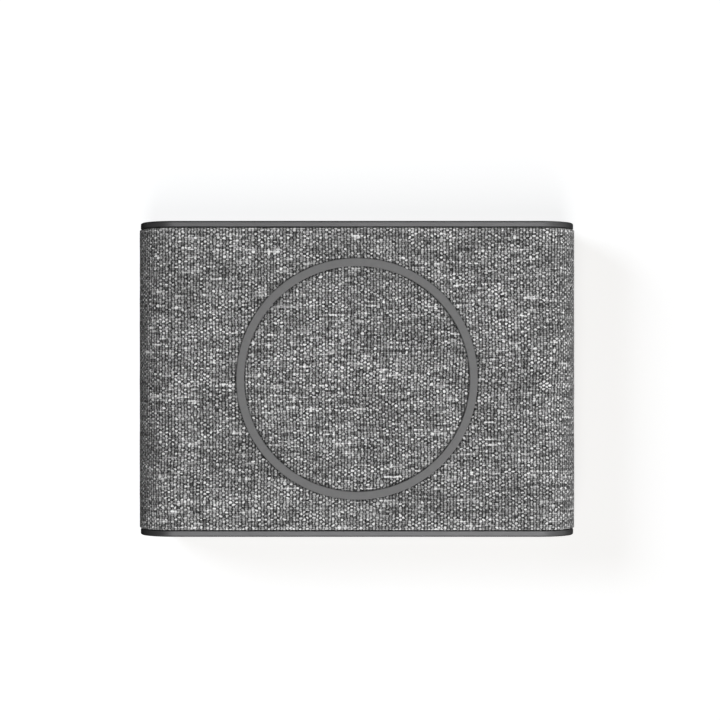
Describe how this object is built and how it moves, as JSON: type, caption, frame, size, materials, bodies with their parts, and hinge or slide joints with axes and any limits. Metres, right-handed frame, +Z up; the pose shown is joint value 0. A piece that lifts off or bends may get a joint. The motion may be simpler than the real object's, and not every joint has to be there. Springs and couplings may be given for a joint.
{
  "type": "wireless charging pad",
  "caption": "Portable wireless charging pad: full-round body in melange woven fabric, plastic end plates, silicone grip ring over the coil, foot ring, sockets and a push button in the front.",
  "frame": {"origin": "middle of the footprint, on the surface that the foot ring stands on", "axes": "+X along the width, +Y from the front plate with the sockets to the rear plate, +Z up to the charging face"},
  "size_m": [0.11, 0.0786, 0.02],
  "materials": {
    "woven_fabric": "matte",
    "silicone": "matte",
    "plate_plastic": "matte",
    "tube_plastic": "matte",
    "chassis_plastic": "matte",
    "circuit_board": "satin",
    "socket_steel": "satin",
    "copper_wire": "satin",
    "ferrite": "matte",
    "chip_epoxy": "satin",
    "capacitor_ceramic": "matte",
    "cell_foil": "satin",
    "foam_tape": "matte",
    "socket_tongue_black": "satin",
    "socket_tongue_white": "satin",
    "clear_plastic": "gloss",
    "led_phosphor": "gloss",
    "polyimide_film": "gloss",
    "wire_red": "satin",
    "wire_black": "satin",
    "thermistor_bead": "gloss"
  },
  "bodies": {
    "root": {"fabric_sleeve": "woven_fabric", "grip_ring": "silicone", "foot_ring": "silicone", "core_tube": "tube_plastic", "front_plate": "plate_plastic", "rear_plate": "plate_plastic", "main_board": "circuit_board", "usb_c_shell": "socket_steel", "usb_c_tongue": "socket_tongue_black", "usb_a_shell": "socket_steel", "usb_a_tongue": "socket_tongue_white", "tact_switch": "socket_steel", "light_guide": "clear_plastic", "charge_led_1": "led_phosphor", "charge_led_2": "led_phosphor", "charge_led_3": "led_phosphor", "charge_led_4": "led_phosphor", "charge_controller": "chip_epoxy", "coil_driver": "chip_epoxy", "power_inductor_1": "ferrite", "power_inductor_2": "ferrite", "resonant_capacitor_1": "capacitor_ceramic", "resonant_capacitor_2": "capacitor_ceramic", "resonant_capacitor_3": "capacitor_ceramic", "resonant_capacitor_4": "capacitor_ceramic", "battery_cell": "cell_foil", "battery_foam": "foam_tape", "battery_protection_board": "circuit_board", "battery_tab_1": "socket_steel", "battery_tab_2": "socket_steel", "battery_lead_1": "wire_black", "battery_lead_2": "wire_red", "coil_carrier": "chassis_plastic", "ferrite_disc": "ferrite", "charging_coil": "copper_wire", "coil_film": "polyimide_film", "coil_thermistor": "thermistor_bead", "coil_lead_1": "copper_wire", "coil_lead_2": "copper_wire", "chassis": "chassis_plastic", "carrier_screw_1": "socket_steel", "carrier_screw_2": "socket_steel", "carrier_screw_3": "socket_steel", "carrier_screw_4": "socket_steel", "board_screw_1": "socket_steel", "board_screw_2": "socket_steel"},
    "button": {"power_button": "plate_plastic", "switch_plunger": "chip_epoxy"}
  },
  "joints": [
    {"name": "power_button_press", "type": "slide", "parent": "root", "child": "button", "axis": [0, 1, 0], "range_m": [0, 0.0004], "stiffness_N_per_m": 500}
  ]
}
